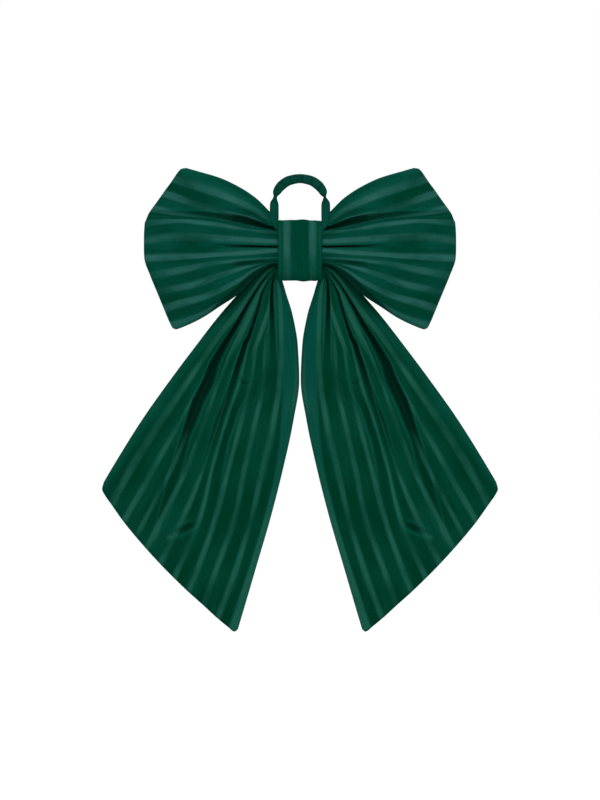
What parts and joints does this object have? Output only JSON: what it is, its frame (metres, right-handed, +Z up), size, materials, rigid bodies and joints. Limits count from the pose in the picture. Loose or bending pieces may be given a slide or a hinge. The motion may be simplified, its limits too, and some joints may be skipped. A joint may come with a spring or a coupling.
{
  "type": "gift bow",
  "caption": "Ready-made gift bow of striped velvet: padded loops, slanted tails, a wrapped knot and a covered elastic loop to hang it by",
  "frame": {"origin": "the point under the crown of the hanging loop that a hook or a knob carries", "axes": "X runs to the right as the bow is seen from its front, the front faces -Y, and Z is up"},
  "size_m": [0.3974, 0.037, 0.4621],
  "materials": {
    "striped_velvet": "matte",
    "plain_velvet": "matte",
    "thread": "satin",
    "elastic": "matte",
    "wadding": "matte",
    "interlining": "matte"
  },
  "bodies": {
    "hanger": {"hanger_casing": "plain_velvet", "hanger_elastic": "elastic"},
    "knot": {"knot_wrap": "striped_velvet", "knot_wrap_stitches": "thread", "loops_waist": "striped_velvet", "loops_gather_thread": "thread", "left_hanger_end": "plain_velvet", "right_hanger_end": "plain_velvet", "hanger_end_stitches": "thread"},
    "left_loop": {"left_loop_front_panel": "striped_velvet", "left_loop_back_panel": "striped_velvet", "left_loop_wadding": "wadding"},
    "right_loop": {"right_loop_front_panel": "striped_velvet", "right_loop_back_panel": "striped_velvet", "right_loop_wadding": "wadding"},
    "left_tail_top": {"left_tail_gathered_top": "striped_velvet", "left_tail_gather_thread": "thread"},
    "right_tail_top": {"right_tail_gathered_top": "striped_velvet", "right_tail_gather_thread": "thread"},
    "left_tail": {"left_tail_front_panel": "striped_velvet", "left_tail_back_panel": "striped_velvet", "left_tail_interlining": "interlining"},
    "right_tail": {"right_tail_front_panel": "striped_velvet", "right_tail_back_panel": "striped_velvet", "right_tail_interlining": "interlining"}
  },
  "joints": [
    {"name": "knot_swing", "type": "hinge", "parent": "hanger", "child": "knot", "pos_m": [0, -0.001, -0.0268], "axis": [1, 0, 0], "range_deg": [-90, 90]},
    {"name": "left_loop_fold", "type": "hinge", "parent": "knot", "child": "left_loop", "pos_m": [-0.0325, -0.004, -0.0518], "axis": [0, 0, 1], "range_deg": [-30, 55]},
    {"name": "right_loop_fold", "type": "hinge", "parent": "knot", "child": "right_loop", "pos_m": [0.0325, -0.004, -0.0518], "axis": [0, 0, -1], "range_deg": [-30, 55]},
    {"name": "left_tail_spread", "type": "hinge", "parent": "knot", "child": "left_tail_top", "pos_m": [-0.0155, 0.0094, -0.0818], "axis": [0, 1, 0], "range_deg": [0, 8]},
    {"name": "right_tail_spread", "type": "hinge", "parent": "knot", "child": "right_tail_top", "pos_m": [0.0155, 0.0094, -0.0818], "axis": [0, -1, 0], "range_deg": [0, 8]},
    {"name": "left_tail_swing", "type": "hinge", "parent": "left_tail_top", "child": "left_tail", "pos_m": [-0.036, 0.006, -0.1068], "axis": [1, 0, 0], "range_deg": [-50, 40]},
    {"name": "right_tail_swing", "type": "hinge", "parent": "right_tail_top", "child": "right_tail", "pos_m": [0.036, 0.006, -0.1068], "axis": [1, 0, 0], "range_deg": [-50, 40]}
  ]
}
